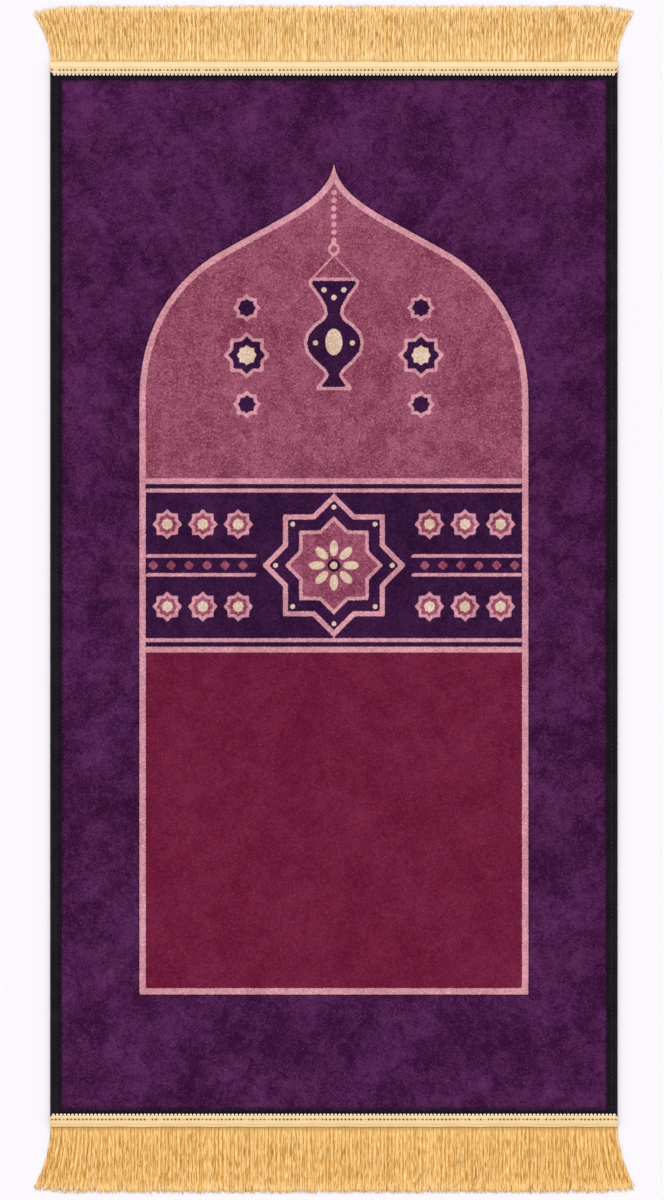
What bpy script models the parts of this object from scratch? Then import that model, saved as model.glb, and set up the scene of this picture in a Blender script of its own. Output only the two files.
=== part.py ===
"""A prayer rug lying flat: a pile cloth with a folded tape binding on its four edges,
and a fringe trim with its own heading sewn over each end.

Metres, +Z up. The rug lies on z = 0, its arch points to +Y, and the origin is under the
middle of the whole outline, fringes included.
"""

import math
import random

import bmesh
import bpy
from mathutils import Vector

MM = 0.001

# The bound cloth.
CLOTH_WIDTH = 600 * MM
CLOTH_LENGTH = 1110 * MM
PILE_TOP = 5.0 * MM  # height of the pile over the floor
PILE_ROUNDING = 1.4 * MM  # at the rim of the pile
PILE_ROUNDING_STEPS = 3
GAP = 0.3 * MM  # between pieces that are sewn together

# The folded tape. It wraps the cloth's flat rim, which is cut free of pile.
TAPE_THICKNESS = 0.8 * MM
TAPE_WIDTH = 12 * MM  # of each leg of the fold
RIM_THICKNESS = 2.1 * MM
RIM_BOTTOM = TAPE_THICKNESS + GAP
TAPE_TOP = RIM_BOTTOM + RIM_THICKNESS + GAP + TAPE_THICKNESS
FOLD_RADIUS = TAPE_TOP / 2
FOLD_STEPS = 6

# The fringe trim. Each lock hangs from the heading under one loop of its scalloped edge.
LOCK_COUNT = 124  # at each end
LOCK_PITCH = CLOTH_WIDTH / LOCK_COUNT
LOCK_ROOT_WIDTH = 3.9 * MM
LOCK_TIP_WIDTH = 1.8 * MM
LOCK_THICKNESS = 1.2 * MM
LOCK_TIP_THICKNESS = 0.6 * MM
LOCK_BENDS = [0.12, 0.55, 1.0]  # as shares of its length; from the first on it lies level
LOCK_SWAY = 1.2 * MM  # the sideways wave in a lock, at its tip
LOCK_WAVE_LENGTH = 46 * MM
LOCK_WAVE_DRIFT = 28.0  # radians that the wave moves on by, in a metre across the trim
LOCK_WAVE_CHANCE = 0.25  # radians, at most, between neighbours
LOOP_DEPTH = 1.4 * MM  # of the small loops on the heading's inner edge
LOOP_TAPER = 0.55  # a loop's width at its tip against its root
FAN_WIDTH = 95 * MM  # the stretch at each corner in which the locks lean outwards
FAN_REACH = 16.5 * MM  # how far the outermost locks lean out by their tips
FAN_BEND = 1.3  # 1 for straight locks, more for locks that bend out late
HEAD_FRINGE_LENGTH = 60 * MM  # from the heading's outer edge to the longest tips
FOOT_FRINGE_LENGTH = 69 * MM
TIP_UNEVENNESS = 5 * MM  # how much shorter the shortest locks are

# The heading's section: how far each point lies outwards of the cloth's end, the height
# of the heading's underside there, and its thickness. It lies on the end binding, then
# slopes down past the cloth.
HEADING_SECTION = [
    {"outward": -6.1 * MM, "underside": 4.6 * MM, "thickness": 0.8 * MM},  # loops' roots
    {"outward": -5.0 * MM, "underside": 4.6 * MM, "thickness": 1.4 * MM},  # inner ridge
    {"outward": -3.2 * MM, "underside": 4.6 * MM, "thickness": 1.4 * MM},
    {"outward": -2.2 * MM, "underside": 4.6 * MM, "thickness": 0.8 * MM},  # stitch groove
    {"outward": -1.0 * MM, "underside": 4.6 * MM, "thickness": 1.4 * MM},  # outer ridge
    {"outward": 0.4 * MM, "underside": 4.6 * MM, "thickness": 1.4 * MM},
    {"outward": 6.8 * MM, "underside": 0.9 * MM, "thickness": 1.3 * MM},  # locks' roots
]

SAME_PLACE = 0.01 * MM  # points closer than this lie at one height or outward place
FLAT_ANGLE = math.radians(0.05)  # faces that meet at less than this are made one

# The four edges: the turn about Z that points +X outwards over the edge.
EDGES = {
    "binding_right": {"turn": 0.0, "reach": CLOTH_WIDTH / 2, "length": CLOTH_LENGTH},
    "binding_left": {"turn": math.pi, "reach": CLOTH_WIDTH / 2, "length": CLOTH_LENGTH},
    "binding_head_end": {
        "turn": math.pi / 2,
        "reach": CLOTH_LENGTH / 2,
        "length": CLOTH_WIDTH - 2 * (TAPE_WIDTH + GAP),
    },
    "binding_foot_end": {
        "turn": -math.pi / 2,
        "reach": CLOTH_LENGTH / 2,
        "length": CLOTH_WIDTH - 2 * (TAPE_WIDTH + GAP),
    },
}

PURPLE_PILE = {"name": "purple_pile", "colour": (0.065, 0.014, 0.060), "roughness": 0.95}
BLACK_TAPE = {"name": "black_tape", "colour": (0.014, 0.009, 0.016), "roughness": 0.85}
GOLD_YARN = {"name": "gold_yarn", "colour": (0.82, 0.50, 0.20), "roughness": 0.60}


def clear_scene():
    for obj in list(bpy.data.objects):
        bpy.data.objects.remove(obj)


def new_collection(name):
    collection = bpy.data.collections.new(name)
    bpy.context.scene.collection.children.link(collection)
    return collection


def material(finish):
    found = bpy.data.materials.get(finish["name"])
    if found:
        return found
    made = bpy.data.materials.new(finish["name"])
    made.use_nodes = True
    shader = made.node_tree.nodes["Principled BSDF"]
    shader.inputs["Base Color"].default_value = (*finish["colour"], 1.0)
    shader.inputs["Roughness"].default_value = finish["roughness"]
    shader.inputs["Metallic"].default_value = 0.0
    return made


def add_object(collection, name, data, finish):
    data.materials.append(material(finish))
    obj = bpy.data.objects.new(name, data)
    collection.objects.link(obj)
    return obj


def facing(bm, z):
    """The flat face of bm that faces up (z = 1) or down (z = -1)."""
    return max(bm.faces, key=lambda face: face.normal.z * z)


def step_out(bm, face, inset, height):
    """Insets face and raises the part inside by height, along the face's normal."""
    bmesh.ops.inset_individual(bm, faces=[face], thickness=inset, use_even_offset=True)
    rise = face.normal * height
    raised = bmesh.ops.extrude_discrete_faces(bm, faces=[face])["faces"][0]
    bmesh.ops.translate(bm, vec=rise, verts=raised.verts)


def make_cloth(collection):
    """The pile cloth: a thin rim for the tape, and the full thickness inside it."""
    rim_width = CLOTH_WIDTH - 2 * FOLD_RADIUS
    rim_length = CLOTH_LENGTH - 2 * FOLD_RADIUS
    rim_inset = TAPE_WIDTH + GAP - FOLD_RADIUS
    bm = bmesh.new()
    bmesh.ops.create_cube(bm, size=1.0)
    bmesh.ops.scale(bm, vec=(rim_width, rim_length, RIM_THICKNESS), verts=bm.verts)
    bmesh.ops.translate(bm, vec=(0, 0, RIM_BOTTOM + RIM_THICKNESS / 2), verts=bm.verts)
    bm.normal_update()
    step_out(bm, facing(bm, 1), rim_inset, PILE_TOP - RIM_BOTTOM - RIM_THICKNESS)
    bm.normal_update()
    step_out(bm, facing(bm, -1), rim_inset, RIM_BOTTOM)
    pile_edge = [
        edge
        for edge in bm.edges
        if all(abs(vert.co.z - PILE_TOP) < SAME_PLACE for vert in edge.verts)
    ]
    bmesh.ops.bevel(
        bm,
        geom=pile_edge,
        offset=PILE_ROUNDING,
        segments=PILE_ROUNDING_STEPS,
        profile=0.5,
        affect="EDGES",
    )
    bmesh.ops.recalc_face_normals(bm, faces=bm.faces)
    mesh = bpy.data.meshes.new("rug_cloth")
    bm.to_mesh(mesh)
    bm.free()
    return add_object(collection, "rug_cloth", mesh, PURPLE_PILE)


def fold_outline():
    """The folded tape's section: x runs outwards and ends at 0, on the fold, and y is up."""
    centre = Vector((-FOLD_RADIUS, FOLD_RADIUS))
    angles = [math.pi * (step / FOLD_STEPS - 0.5) for step in range(FOLD_STEPS + 1)]
    arc = [Vector((math.cos(angle), math.sin(angle))) for angle in angles]
    outer = [centre + ray * FOLD_RADIUS for ray in arc]
    inner = [centre + ray * (FOLD_RADIUS - TAPE_THICKNESS) for ray in reversed(arc)]
    return [
        Vector((-TAPE_WIDTH, 0)),
        *outer,
        Vector((-TAPE_WIDTH, TAPE_TOP)),
        Vector((-TAPE_WIDTH, TAPE_TOP - TAPE_THICKNESS)),
        *inner,
        Vector((-TAPE_WIDTH, TAPE_THICKNESS)),
    ]


def make_binding(collection, name, turn, reach, length):
    """A folded tape along one edge, as the fold's flat outline drawn out to its length."""
    outline = fold_outline()
    curve = bpy.data.curves.new(name, "CURVE")
    curve.dimensions = "2D"
    curve.fill_mode = "BOTH"
    curve.extrude = length / 2
    spline = curve.splines.new("POLY")
    spline.points.add(len(outline) - 1)
    for point, place in zip(spline.points, outline):
        point.co = (place.x, place.y, 0.0, 1.0)
    spline.use_cyclic_u = True
    obj = add_object(collection, name, curve, BLACK_TAPE)
    obj.location = (reach * math.cos(turn), reach * math.sin(turn), 0.0)
    obj.rotation_euler = (math.pi / 2, 0.0, turn)
    return obj


def fan(across):
    """How far a tip leans outwards, from its root's place across the trim."""
    into = abs(across) - (CLOTH_WIDTH / 2 - FAN_WIDTH)
    lean = FAN_REACH * (max(into, 0.0) / FAN_WIDTH) ** 2
    return math.copysign(lean, across)


def left_to_right(faces):
    return sorted(faces, key=lambda face: face.calc_center_median().x)


def heading_strip(bm, middles):
    """The heading, drawn out across the rug with a seam line at each side of every lock."""
    stations = [-CLOTH_WIDTH / 2]
    for middle in middles:
        stations += [middle - LOCK_ROOT_WIDTH / 2, middle + LOCK_ROOT_WIDTH / 2]
    stations.append(CLOTH_WIDTH / 2)
    under = [(row["outward"], row["underside"]) for row in HEADING_SECTION]
    over = [(row["outward"], row["underside"] + row["thickness"]) for row in HEADING_SECTION]
    ring = [bm.verts.new((stations[0], y, z)) for y, z in under + over[::-1]]
    end = bm.faces.new(ring)
    for before, after in zip(stations, stations[1:]):
        end = bmesh.ops.extrude_discrete_faces(bm, faces=[end])["faces"][0]
        bmesh.ops.translate(bm, vec=(after - before, 0, 0), verts=end.verts)
    bm.faces.new(ring)
    bmesh.ops.recalc_face_normals(bm, faces=bm.faces)


def seamed_faces(bm, outward):
    """The strip's upright faces at one of its edges, one in line with each lock."""
    edge = [
        face
        for face in bm.faces
        if all(abs(vert.co.y - outward) < SAME_PLACE for vert in face.verts)
    ]
    return left_to_right(edge)[1::2]


def grow_loops(bm):
    """The small loops along the heading's inner edge."""
    inner = HEADING_SECTION[0]["outward"]
    loops = bmesh.ops.extrude_discrete_faces(bm, faces=seamed_faces(bm, inner))["faces"]
    for loop in loops:
        middle = loop.calc_center_median()
        for vert in loop.verts:
            vert.co.x = middle.x + (vert.co.x - middle.x) * LOOP_TAPER
            vert.co.y = inner - LOOP_DEPTH


def grow_locks(bm, middles, length, chance):
    """Draws each lock out of the heading's outer edge. It drops to the floor and lies on it.
    The longest lock has the full length, and the outermost two lie straight."""
    root = HEADING_SECTION[-1]
    shortfalls = [chance.random() for _ in middles]
    locks = []
    for middle, shortfall in zip(middles, shortfalls):
        at_side = abs(middle) > CLOTH_WIDTH / 2 - LOCK_PITCH
        locks.append(
            {
                "middle": middle,
                "length": length - TIP_UNEVENNESS * (shortfall - min(shortfalls)),
                "phase": middle * LOCK_WAVE_DRIFT + LOCK_WAVE_CHANCE * chance.random(),
                "sway": 0.0 if at_side else LOCK_SWAY,
            }
        )
    faces = seamed_faces(bm, root["outward"])
    for share in LOCK_BENDS:
        faces = left_to_right(bmesh.ops.extrude_discrete_faces(bm, faces=faces)["faces"])
        width = LOCK_ROOT_WIDTH + (LOCK_TIP_WIDTH - LOCK_ROOT_WIDTH) * share
        thickness = LOCK_THICKNESS + (LOCK_TIP_THICKNESS - LOCK_THICKNESS) * share**2
        for face, lock in zip(faces, locks):
            lean = math.atan(fan(lock["middle"]) / length)
            along = lock["length"] * math.cos(lean) * share
            wave = math.sin(2 * math.pi * along / LOCK_WAVE_LENGTH + lock["phase"])
            across = lock["middle"] + fan(lock["middle"]) * share**FAN_BEND
            across += lock["sway"] * math.sqrt(share) * wave
            centre = face.calc_center_median()
            for vert in face.verts:
                to_right = vert.co.x > centre.x
                on_top = vert.co.z > centre.z
                vert.co.x = across + (width / 2 if to_right else -width / 2)
                vert.co.y = root["outward"] + along
                vert.co.z = thickness if on_top else 0.0


def make_fringe(collection, name, turn, length, seed):
    """A fringe trim sewn over one end, as one solid: the heading with its locks."""
    middles = [(lock + 0.5) * LOCK_PITCH - CLOTH_WIDTH / 2 for lock in range(LOCK_COUNT)]
    bm = bmesh.new()
    heading_strip(bm, middles)
    grow_loops(bm)
    grow_locks(bm, middles, length, random.Random(seed))
    bmesh.ops.dissolve_limit(bm, angle_limit=FLAT_ANGLE, verts=bm.verts, edges=bm.edges)
    bmesh.ops.recalc_face_normals(bm, faces=bm.faces)
    mesh = bpy.data.meshes.new(name)
    bm.to_mesh(mesh)
    bm.free()
    obj = add_object(collection, name, mesh, GOLD_YARN)
    obj.location = (0.0, CLOTH_LENGTH / 2 * math.cos(turn), 0.0)
    obj.rotation_euler = (0.0, 0.0, turn)
    return obj


def centre_outline(objects):
    """Moves the rug along Y so that the origin lies under the middle of its outline."""
    shift = (FOOT_FRINGE_LENGTH - HEAD_FRINGE_LENGTH) / 2
    for obj in objects:
        obj.location.y += shift


def main():
    clear_scene()
    rug = new_collection("prayer_rug")
    objects = [make_cloth(rug)]
    for name, edge in EDGES.items():
        objects.append(make_binding(rug, name, **edge))
    objects.append(make_fringe(rug, "fringe_head_end", 0.0, HEAD_FRINGE_LENGTH, seed=11))
    objects.append(make_fringe(rug, "fringe_foot_end", math.pi, FOOT_FRINGE_LENGTH, seed=12))
    centre_outline(objects)


main()
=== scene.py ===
"""The looks of the prayer rug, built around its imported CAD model.

Metres, +Z up, in the CAD's own frame: the rug lies on z = 0 and its niche points to +Y.
Every trim is made in the terms of the edge that it is sewn to: outward of the cloth's edge,
along the edge, and up.
"""

import functools
import math

import bpy
import numpy as np
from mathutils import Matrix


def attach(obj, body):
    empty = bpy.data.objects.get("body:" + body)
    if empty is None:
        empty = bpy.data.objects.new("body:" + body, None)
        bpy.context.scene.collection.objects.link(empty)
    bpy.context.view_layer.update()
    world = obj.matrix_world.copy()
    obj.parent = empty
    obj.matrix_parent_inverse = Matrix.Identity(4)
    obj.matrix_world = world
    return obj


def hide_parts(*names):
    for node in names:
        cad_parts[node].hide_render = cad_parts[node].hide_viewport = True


MM = 0.001

# ---- sizes, as in the CAD
CLOTH_WIDTH = 600 * MM
CLOTH_LENGTH = 1110 * MM
CLOTH_MIDDLE_Y = 4.5 * MM  # the middle of the cloth, in the frame
PILE_TOP = 5.0 * MM
TAPE_TOP = 4.3 * MM
TAPE_WIDTH = 12 * MM
TAPE_THICKNESS = 0.8 * MM
FOLD_RADIUS = TAPE_TOP / 2
RIM_BOTTOM = 1.1 * MM
RIM_TOP = 3.2 * MM
GAP = 0.3 * MM
PILE_INSET = TAPE_WIDTH + GAP  # of the pile's wall, from the cloth's edge

# ---- the pile cloth
PILE_ROUNDING = 1.6 * MM
PILE_RELIEF = 0.16 * MM  # the unevenness of the brushed surface
FINE_CELL = 2.2  # of the cloth's mesh, in millimetres as the next three
COARSE_CELL = 5.0
FINE_ACROSS = [-207, 207]  # where its fine cells start and end, from the middle
FINE_ALONG = [-430, -412, -70, 460]
FOOT_RIM_SHIFT = 4.6  # millimetres that the foot end's rim is coloured as further in, so its painted rim shade is weaker
BACK_STEP = 6  # cells of the face to one cell of the back
TUFT_ROOT = (0.2, 2.2)  # inside the pile's wall, in millimetres as the next three
TUFT_RISE = (-0.3, 0.25)  # of its tip over the pile
TUFT_DRIFT = 0.4  # along the edge
TUFT_RADII = [0.26, 0.22, 0.05]
TUFT_LEAN = (0.3, 1.0)  # as a share of the edge's reach
TUFT_SINK = 0.35 * MM
TUFT_STATIONS = [0.0, 0.55, 1.0]
TUFT_FLATNESS = 0.6

# The design, in millimetres from the middle of the cloth, with +y towards the head end.
NICHE_HALF_WIDTH = 205.4
NICHE_FOOT = -423.3
NICHE_SPRING = 204.5  # where the straight sides end
NICHE_SHOULDER = (120, 360.8)  # where the arch turns from bulging to hollow
NICHE_APEX = 454
SHOULDER_SLOPE = 0.52  # radians from level
APEX_SLOPE = 0.17  # radians from upright
ARCH_HANDLES = (70.7, 62.2, 79.7, 38.8)  # of its curves, from the spring to the apex
OUTLINE_WIDTH = 6.6
OUTLINE_SHADE = 1.4  # how far round the outline the border is darker
FRIEZE_MIDDLE = 30
FRIEZE_HALF = 92
FRIEZE_LINES = [(0, 6), (11, 4)]  # how far in from its edge, and how wide
DIVIDER_OFFSET = 10
DIVIDER_WIDTH = 3.6
DIVIDER_START = 82
LOZENGE = (6, 5.4)  # half-width, half-height
LOZENGE_PLACES = [96, 115, 134, 153, 172, 191]
STAR_PLACES = [101, 138.5, 176]
STAR_ROW = 43.5
STAR_REACH = 16
STAR_LAYERS = (3.2, 6.6)  # how far in its rose and its cream start
FIELD_STARS = [(302, 15), (252, 25), (200, 15)]  # height, reach
FIELD_STAR_PLACE = 92
FIELD_STAR_LAYER = 3.4  # how far in its plum starts
CREAM_STAR_REACH = 11  # in the middle one of them
MEDALLION_REACH = 76
INNER_STAR_INSET = 17
INNER_STAR_LAYER = 3.6
BUTTON_RADII = (7, 4)  # of the plum and the cream disc in the middle
PLUM_RING = (5.2, 11.8)  # how far in from the medallion's edge, and how wide
ROSETTE_RADIUS = 18
ROSETTE_PETALS = 8
PETAL = (8.5, 4.4)  # half-length, half-width
PEARL_RADIUS = 2.7
PEARL_PLACE = 0.81  # of the medallion's reach
LAMP_PROFILE = [  # height, half-width
    (334, 24), (330, 27), (325, 26), (313, 17), (302, 11), (296, 10), (291, 12.5), (285, 21),
    (276, 29), (265, 32), (254, 29.5), (244, 21), (236, 12), (231, 9), (226, 12), (219, 18.5),
    (215, 19),
]
LAMP_OUTLINE = 3.4
LAMP_FLAME = (266, 9, 14)  # height, half-width, half-height
LAMP_BEADS = [(265, 19.5), (313, 0), (321, 10.5)]  # height, place to each side
LAMP_BEAD = 2.9
LAMP_RING = (364, 6.5)  # height, radius
LAMP_HANGERS = 22  # how far apart, to each side, they meet the lamp's rim
HANGER_WIDTH = 2.9
CHAIN_TOP = 430
CHAIN_PITCH = 8.4
CHAIN_BEAD = 3

# ---- the tape
STITCH_PITCH = 4.5 * MM
TAPE_STATION = STITCH_PITCH / 3
STITCH_LENGTH = 2.7 * MM
STITCH_WIDTH = 0.55 * MM
STITCH_LINE = -6.4 * MM  # outward of the cloth's edge
STITCH_SLANT = 0.16
STITCH_SLANT_SPREAD = 0.05
STITCH_SINK = 0.16 * MM  # how far a stitch pulls the tape in
STITCH_DIMPLE = 1.3 * MM
TAPE_WAVER = 0.25 * MM
# Outward of the cloth's edge, in millimetres, the mesh lines on the tape's upper side.
TAPE_LINES = [-11.9, -10.6, -9.0, -7.4, -6.9, -6.4, -5.9, -5.4, -4.2, -3.0]
# The tape's painted highlight along its fold: where its middle lies outward of the cloth's edge,
# and how far to each side it fades out.
PAINTED_HIGHLIGHT_LINE = -1.7 * MM
PAINTED_HIGHLIGHT_WIDTH = 1.2 * MM

# ---- the fringe trim
HEADING_LEVEL = 4.6  # of its underside, in millimetres, as all down to CORNER_DIP are
HEADING_BEND = 0.4  # outward of there it slopes down
HEADING_FOOT = 2.5  # its level at its outer edge
HEADING_THICKNESS = 1.35
STITCH_GROOVE = (0.85, 0.62)  # width, depth
THIN_GROOVE = (0.4, 0.32)
HEADING_END = 0.42  # how much thinner it is at its two edges
HEADING_WAVER = 0.12
TWIST_HEIGHT = 0.07
TWIST_PITCH = 2.4  # outward, of the braid's slant
CORNER_DIP = 0.25
CORD_PITCH = 2.04 * MM  # two to a picot
HEADING_COLUMN = CORD_PITCH / 3
PICOT_COUNT = 148
PICOT_RADIUS = 0.80 * MM
PICOT_THICKNESS = 0.70 * MM
PICOT_LEVEL = 4.95 * MM
PICOT_OVERHANG = 0.75  # inward of the heading's edge, in millimetres
PICOT_MARGIN = 0.6  # of the heading's corner, which the row leaves free
LOCK_COUNT = PICOT_COUNT
LOCK_GATHER = 0.36  # how far a lock's strands draw together, as a share of its width
STRAND_COUNT = 1120
YARNS_IN_STRAND = 2
YARN_STATIONS = 13
YARN_RADIUS = 0.55 * MM
LOW_YARN_RADIUS = 1.5 * MM  # of the lowest yarns, which close the fringe
YARN_FLATNESS = 0.48  # its height against its width
YARN_ROOT = 5.6 * MM  # outward of the cloth's edge, inside the heading
ROOT_LEVEL = 2.0 * MM
DROOP_LENGTH = 4.5 * MM  # in which a yarn comes down from there
YARN_LEVEL = 0.6 * MM  # of the lowest yarns, past that
YARN_HEAP = 0.95 * MM  # how high the upper yarns lie over the lower ones
YARN_ROLL = 0.24 * MM  # how far a yarn rises and dips on its way
CRIMP_LENGTH = 6.5 * MM
CRIMP_HEIGHT = 0.11 * MM
UNEVENNESS = 3.6 * MM  # how much shorter than its strand a yarn can be
WISP_SHARE = 0.05  # of the yarns, which are a little longer
TWIN_TONE = 0.37  # how far apart the tones of a strand's two yarns are
# From strand to strand. With these steps, any few in a row hold all layers and tones.
LAYER_STEP = 0.7548777
TONE_STEP = 0.5698403
FAN_WIDTH = 95 * MM  # of the part at each corner that spreads outwards
FAN_REACH = 19.0 * MM
FAN_BEND = 1.9  # the power by which a yarn leans more towards its tip

LONG_EDGE = {"reach": CLOTH_WIDTH / 2, "length": CLOTH_LENGTH}
SHORT_EDGE = {"reach": CLOTH_LENGTH / 2, "length": CLOTH_WIDTH}
EDGES = {
    "right": {"turn": 0.0, **LONG_EDGE},
    "left": {"turn": math.pi, **LONG_EDGE},
    "head_end": {"turn": math.pi / 2, **SHORT_EDGE},
    "foot_end": {"turn": -math.pi / 2, **SHORT_EDGE},
}
EDGE_TUFTS = [  # how many, how far they reach, and as how far in from the rim they take the painted rim shade
    ("right", 1950, 3.5 * MM, 0.5),
    ("left", 1950, 3.5 * MM, 0.5),
    ("head_end", 1300, 3.8 * MM, 0.5),
    ("foot_end", 2700, 5.8 * MM, 4.4),
]
# The heading's inner, outer and grooves are places outward of the cloth's edge, and corner is the
# radius of its inner corners, all in millimetres. corner_cut is how much shorter the outermost
# strands are. root_shade is how dark the heading's painted shadow on the yarns is, and root_glow
# how much paler the yarns are at the heading. The tips' painted light starts at the first share of
# a yarn's length and is as strong as the second. lustre and heading are the darkest and the
# lightest tone of the yarns and the heading; the foot end's are a little darker, a painted shade
# of the end away from the light, and the heading's darkest shows in the painted shade of its
# grooves.
ENDS = {
    "head_end": {
        "seed": 21,
        "fringe_length": 63.2 * MM,
        "corner_cut": 6.0 * MM,
        "inner": -5.4,
        "outer": 7.3,
        "corner": 4.6,
        "stitch_groove": -2.0,
        "thin_groove": 0.8,
        "root_shade": 0.0,
        "root_glow": 0.06,
        "painted_tip_light": (0.84, 1.1),
        "lustre": ((203, 143, 46), (255, 219, 157)),
        "heading": ((118, 80, 40), (255, 224, 171)),
    },
    "foot_end": {
        "seed": 22,
        "fringe_length": 74.9 * MM,
        "corner_cut": 3.6 * MM,
        "inner": -3.7,
        "outer": 8.3,
        "corner": 2.9,
        "stitch_groove": 0.2,
        "thin_groove": 5.6,
        "root_shade": 0.5,
        "root_glow": 0.0,
        "painted_tip_light": (0.72, 0.45),
        # A little darker than the head end's tones: painted shade of the end away from the light.
        "lustre": ((203, 140, 42), (255, 213, 144)),
        "heading": ((108, 74, 34), (255, 221, 163)),
    },
}

# ---- colours, as sRGB
LIGHT_LEVEL = 1.19  # what a white surface sends back to the camera
TRIM_LIGHT = 1.03  # the same for the heading and picots, which slope away from the light
YARN_LIGHT = 1.0  # the same for the yarns, which shade each other
PILE_COLOURS = {  # the darkest and the lightest tone of each
    "purple": ((52, 6, 51), (98, 43, 97)),
    "shade": ((36, 6, 36), (64, 26, 62)),
    "pale": ((187, 123, 137), (246, 180, 193)),
    "rose": ((119, 45, 70), (189, 111, 138)),
    "wine": ((99, 12, 48), (130, 41, 73)),
    "plum": ((38, 6, 44), (72, 30, 78)),
    "cream": ((202, 168, 144), (250, 228, 208)),
}
BACKING = ((44, 24, 44), (74, 48, 72))
TAPE_BLACK = ((4, 1, 6), (38, 25, 39))
STITCH_GREY = ((28, 22, 30), (72, 66, 74))
WARM_TINT = (1.048, 1.0, 0.92, 1.0)  # of the reddest patches
COOL_TINT = (0.957, 1.0, 1.065, 1.0)  # of the bluest ones
TINT_SHARES = {"purple": 0.4, "wine": 0.7}  # how much of the tints these colours take
OTHER_TINT_SHARE = 0.15  # how much the others take
STROKE_ANGLES = [0.4, 1.5, 2.6]
# The picots' pale cream, made lighter still as a painted highlight on the round loops.
PICOT_CREAM_AND_HIGHLIGHT = ((255, 234, 202), (255, 247, 234))
YARN_SLIT_SHADOW = (150, 98, 12)  # painted shadow, deep between the yarns
TAPE_RIBS = (2200.0, 4400.0)  # radians a metre, across the tape and along it
HEADING_CORDS = (5200.0, 5926.0)  # the same for the heading

# ---- the stage
FLOOR_HALF = 20.0
FLOOR_LEVEL = -0.05 * MM
FLOOR_TONES = ((0.828, 0.803, 0.836, 1.0), (0.834, 0.809, 0.842, 1.0))
SKY_STRENGTH = 0.92
SUN_STRENGTH = 0.94
SUN_SPREAD = math.radians(24)
SUN_TURN = (math.radians(-30), math.radians(-6), 0)
CAMERA_PLACE = (-2.0 * MM, -2.1 * MM, 3.526)
CAMERA_LENS = 100.0
CAMERA_SENSOR = 36.0


def linear(colour, light=LIGHT_LEVEL):
    """An sRGB colour as what its surface has to send back of that much light."""
    shares = [part / 255 for part in colour]
    lit = [s / 12.92 if s <= 0.04045 else ((s + 0.055) / 1.055) ** 2.4 for s in shares]
    return (*[part / light for part in lit], 1.0)


# ==== meshes


def add_object(name, data):
    obj = bpy.data.objects.new(name, data)
    bpy.context.scene.collection.objects.link(obj)
    return obj


def new_object(name, points, faces, corner_map, *materials):
    """A mesh object. faces is a list of arrays, one for each number of corners."""
    mesh = bpy.data.meshes.new(name)
    mesh.vertices.add(len(points))
    mesh.vertices.foreach_set("co", np.asarray(points, np.float32).ravel())
    corners = np.concatenate([group.ravel() for group in faces])
    sizes = np.concatenate([np.full(len(group), group.shape[1]) for group in faces])
    starts = np.concatenate([[0], np.cumsum(sizes)[:-1]])
    mesh.loops.add(len(corners))
    mesh.loops.foreach_set("vertex_index", corners.astype(np.int32))
    mesh.polygons.add(len(sizes))
    mesh.polygons.foreach_set("loop_start", starts.astype(np.int32))
    mesh.update(calc_edges=True)
    layer = mesh.uv_layers.new(name="OFBake")
    layer.data.foreach_set("uv", np.asarray(corner_map, np.float32).ravel())
    mesh.shade_smooth()
    for material in materials:
        mesh.materials.append(material)
    return add_object(name, mesh)


def add_values(obj, **values):
    """Numbers for each point of the mesh, for its material to read by their names."""
    for name, numbers in values.items():
        attribute = obj.data.attributes.new(name, "FLOAT", "POINT")
        attribute.data.foreach_set("value", np.asarray(numbers, np.float32).ravel())


def volume(points, quads):
    """The volume inside the faces, less than 0 if they look inwards."""
    a, b, c, d = (points[quads[:, corner]] for corner in range(4))
    return np.einsum("ij,ij->", a, np.cross(b, c) + np.cross(c, d)) / 6


def sharpen(obj, sides, sharp_sides):
    """Marks the lengthwise edges at those sides of a mesh of tubes, so that light breaks there."""
    ends = np.zeros(2 * len(obj.data.edges), np.int32)
    obj.data.edges.foreach_get("vertices", ends)
    start, end = ends.reshape(-1, 2).T % sides
    mark = obj.data.attributes.new("sharp_edge", "BOOLEAN", "EDGE")
    mark.data.foreach_set("value", (start == end) & np.isin(start, sharp_sides))


def tubes(name, rings, material):
    """Closed tubes as one mesh. rings[tube, station, side] is a point on a tube's skin."""
    count, stations, sides, _ = rings.shape
    index = np.arange(count * stations * sides).reshape(count, stations, sides)
    beside = np.roll(index, -1, axis=2)
    skin = np.stack([index[:, :-1], beside[:, :-1], beside[:, 1:], index[:, 1:]], axis=-1)
    quads = skin.reshape(-1, 4)
    caps = np.concatenate([index[:, 0, ::-1], index[:, -1]])
    columns = math.ceil(math.sqrt(count))
    cell = np.stack([np.arange(count) % columns, np.arange(count) // columns], axis=-1)
    u = np.arange(sides + 1) / sides
    v = np.arange(stations) / (stations - 1)
    grid = np.stack(np.meshgrid(u, v), axis=-1) * 0.94 + 0.03
    skin_map = np.stack([grid[:-1, :-1], grid[:-1, 1:], grid[1:, 1:], grid[1:, :-1]], axis=2)
    skin_map = (skin_map[None] + cell[:, None, None, None]) / columns
    cap_rows = [np.broadcast_to(grid[row, :-1], (count, sides, 2)) for row in (0, -1)]
    cap_map = (np.concatenate(cap_rows) + np.tile(cell, (2, 1))[:, None]) / columns
    points = rings.reshape(-1, 3)
    if volume(points, quads) < 0:
        quads, caps = quads[:, ::-1], caps[:, ::-1]
        skin_map = skin_map[..., ::-1, :]
        cap_map = cap_map[:, ::-1]
    corner_map = np.concatenate([skin_map.reshape(-1, 2), cap_map.reshape(-1, 2)])
    return new_object(name, points, [quads, caps], corner_map, material)


def circle(sides):
    """The angles of that many points round a circle."""
    return np.arange(sides) * math.tau / sides


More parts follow.
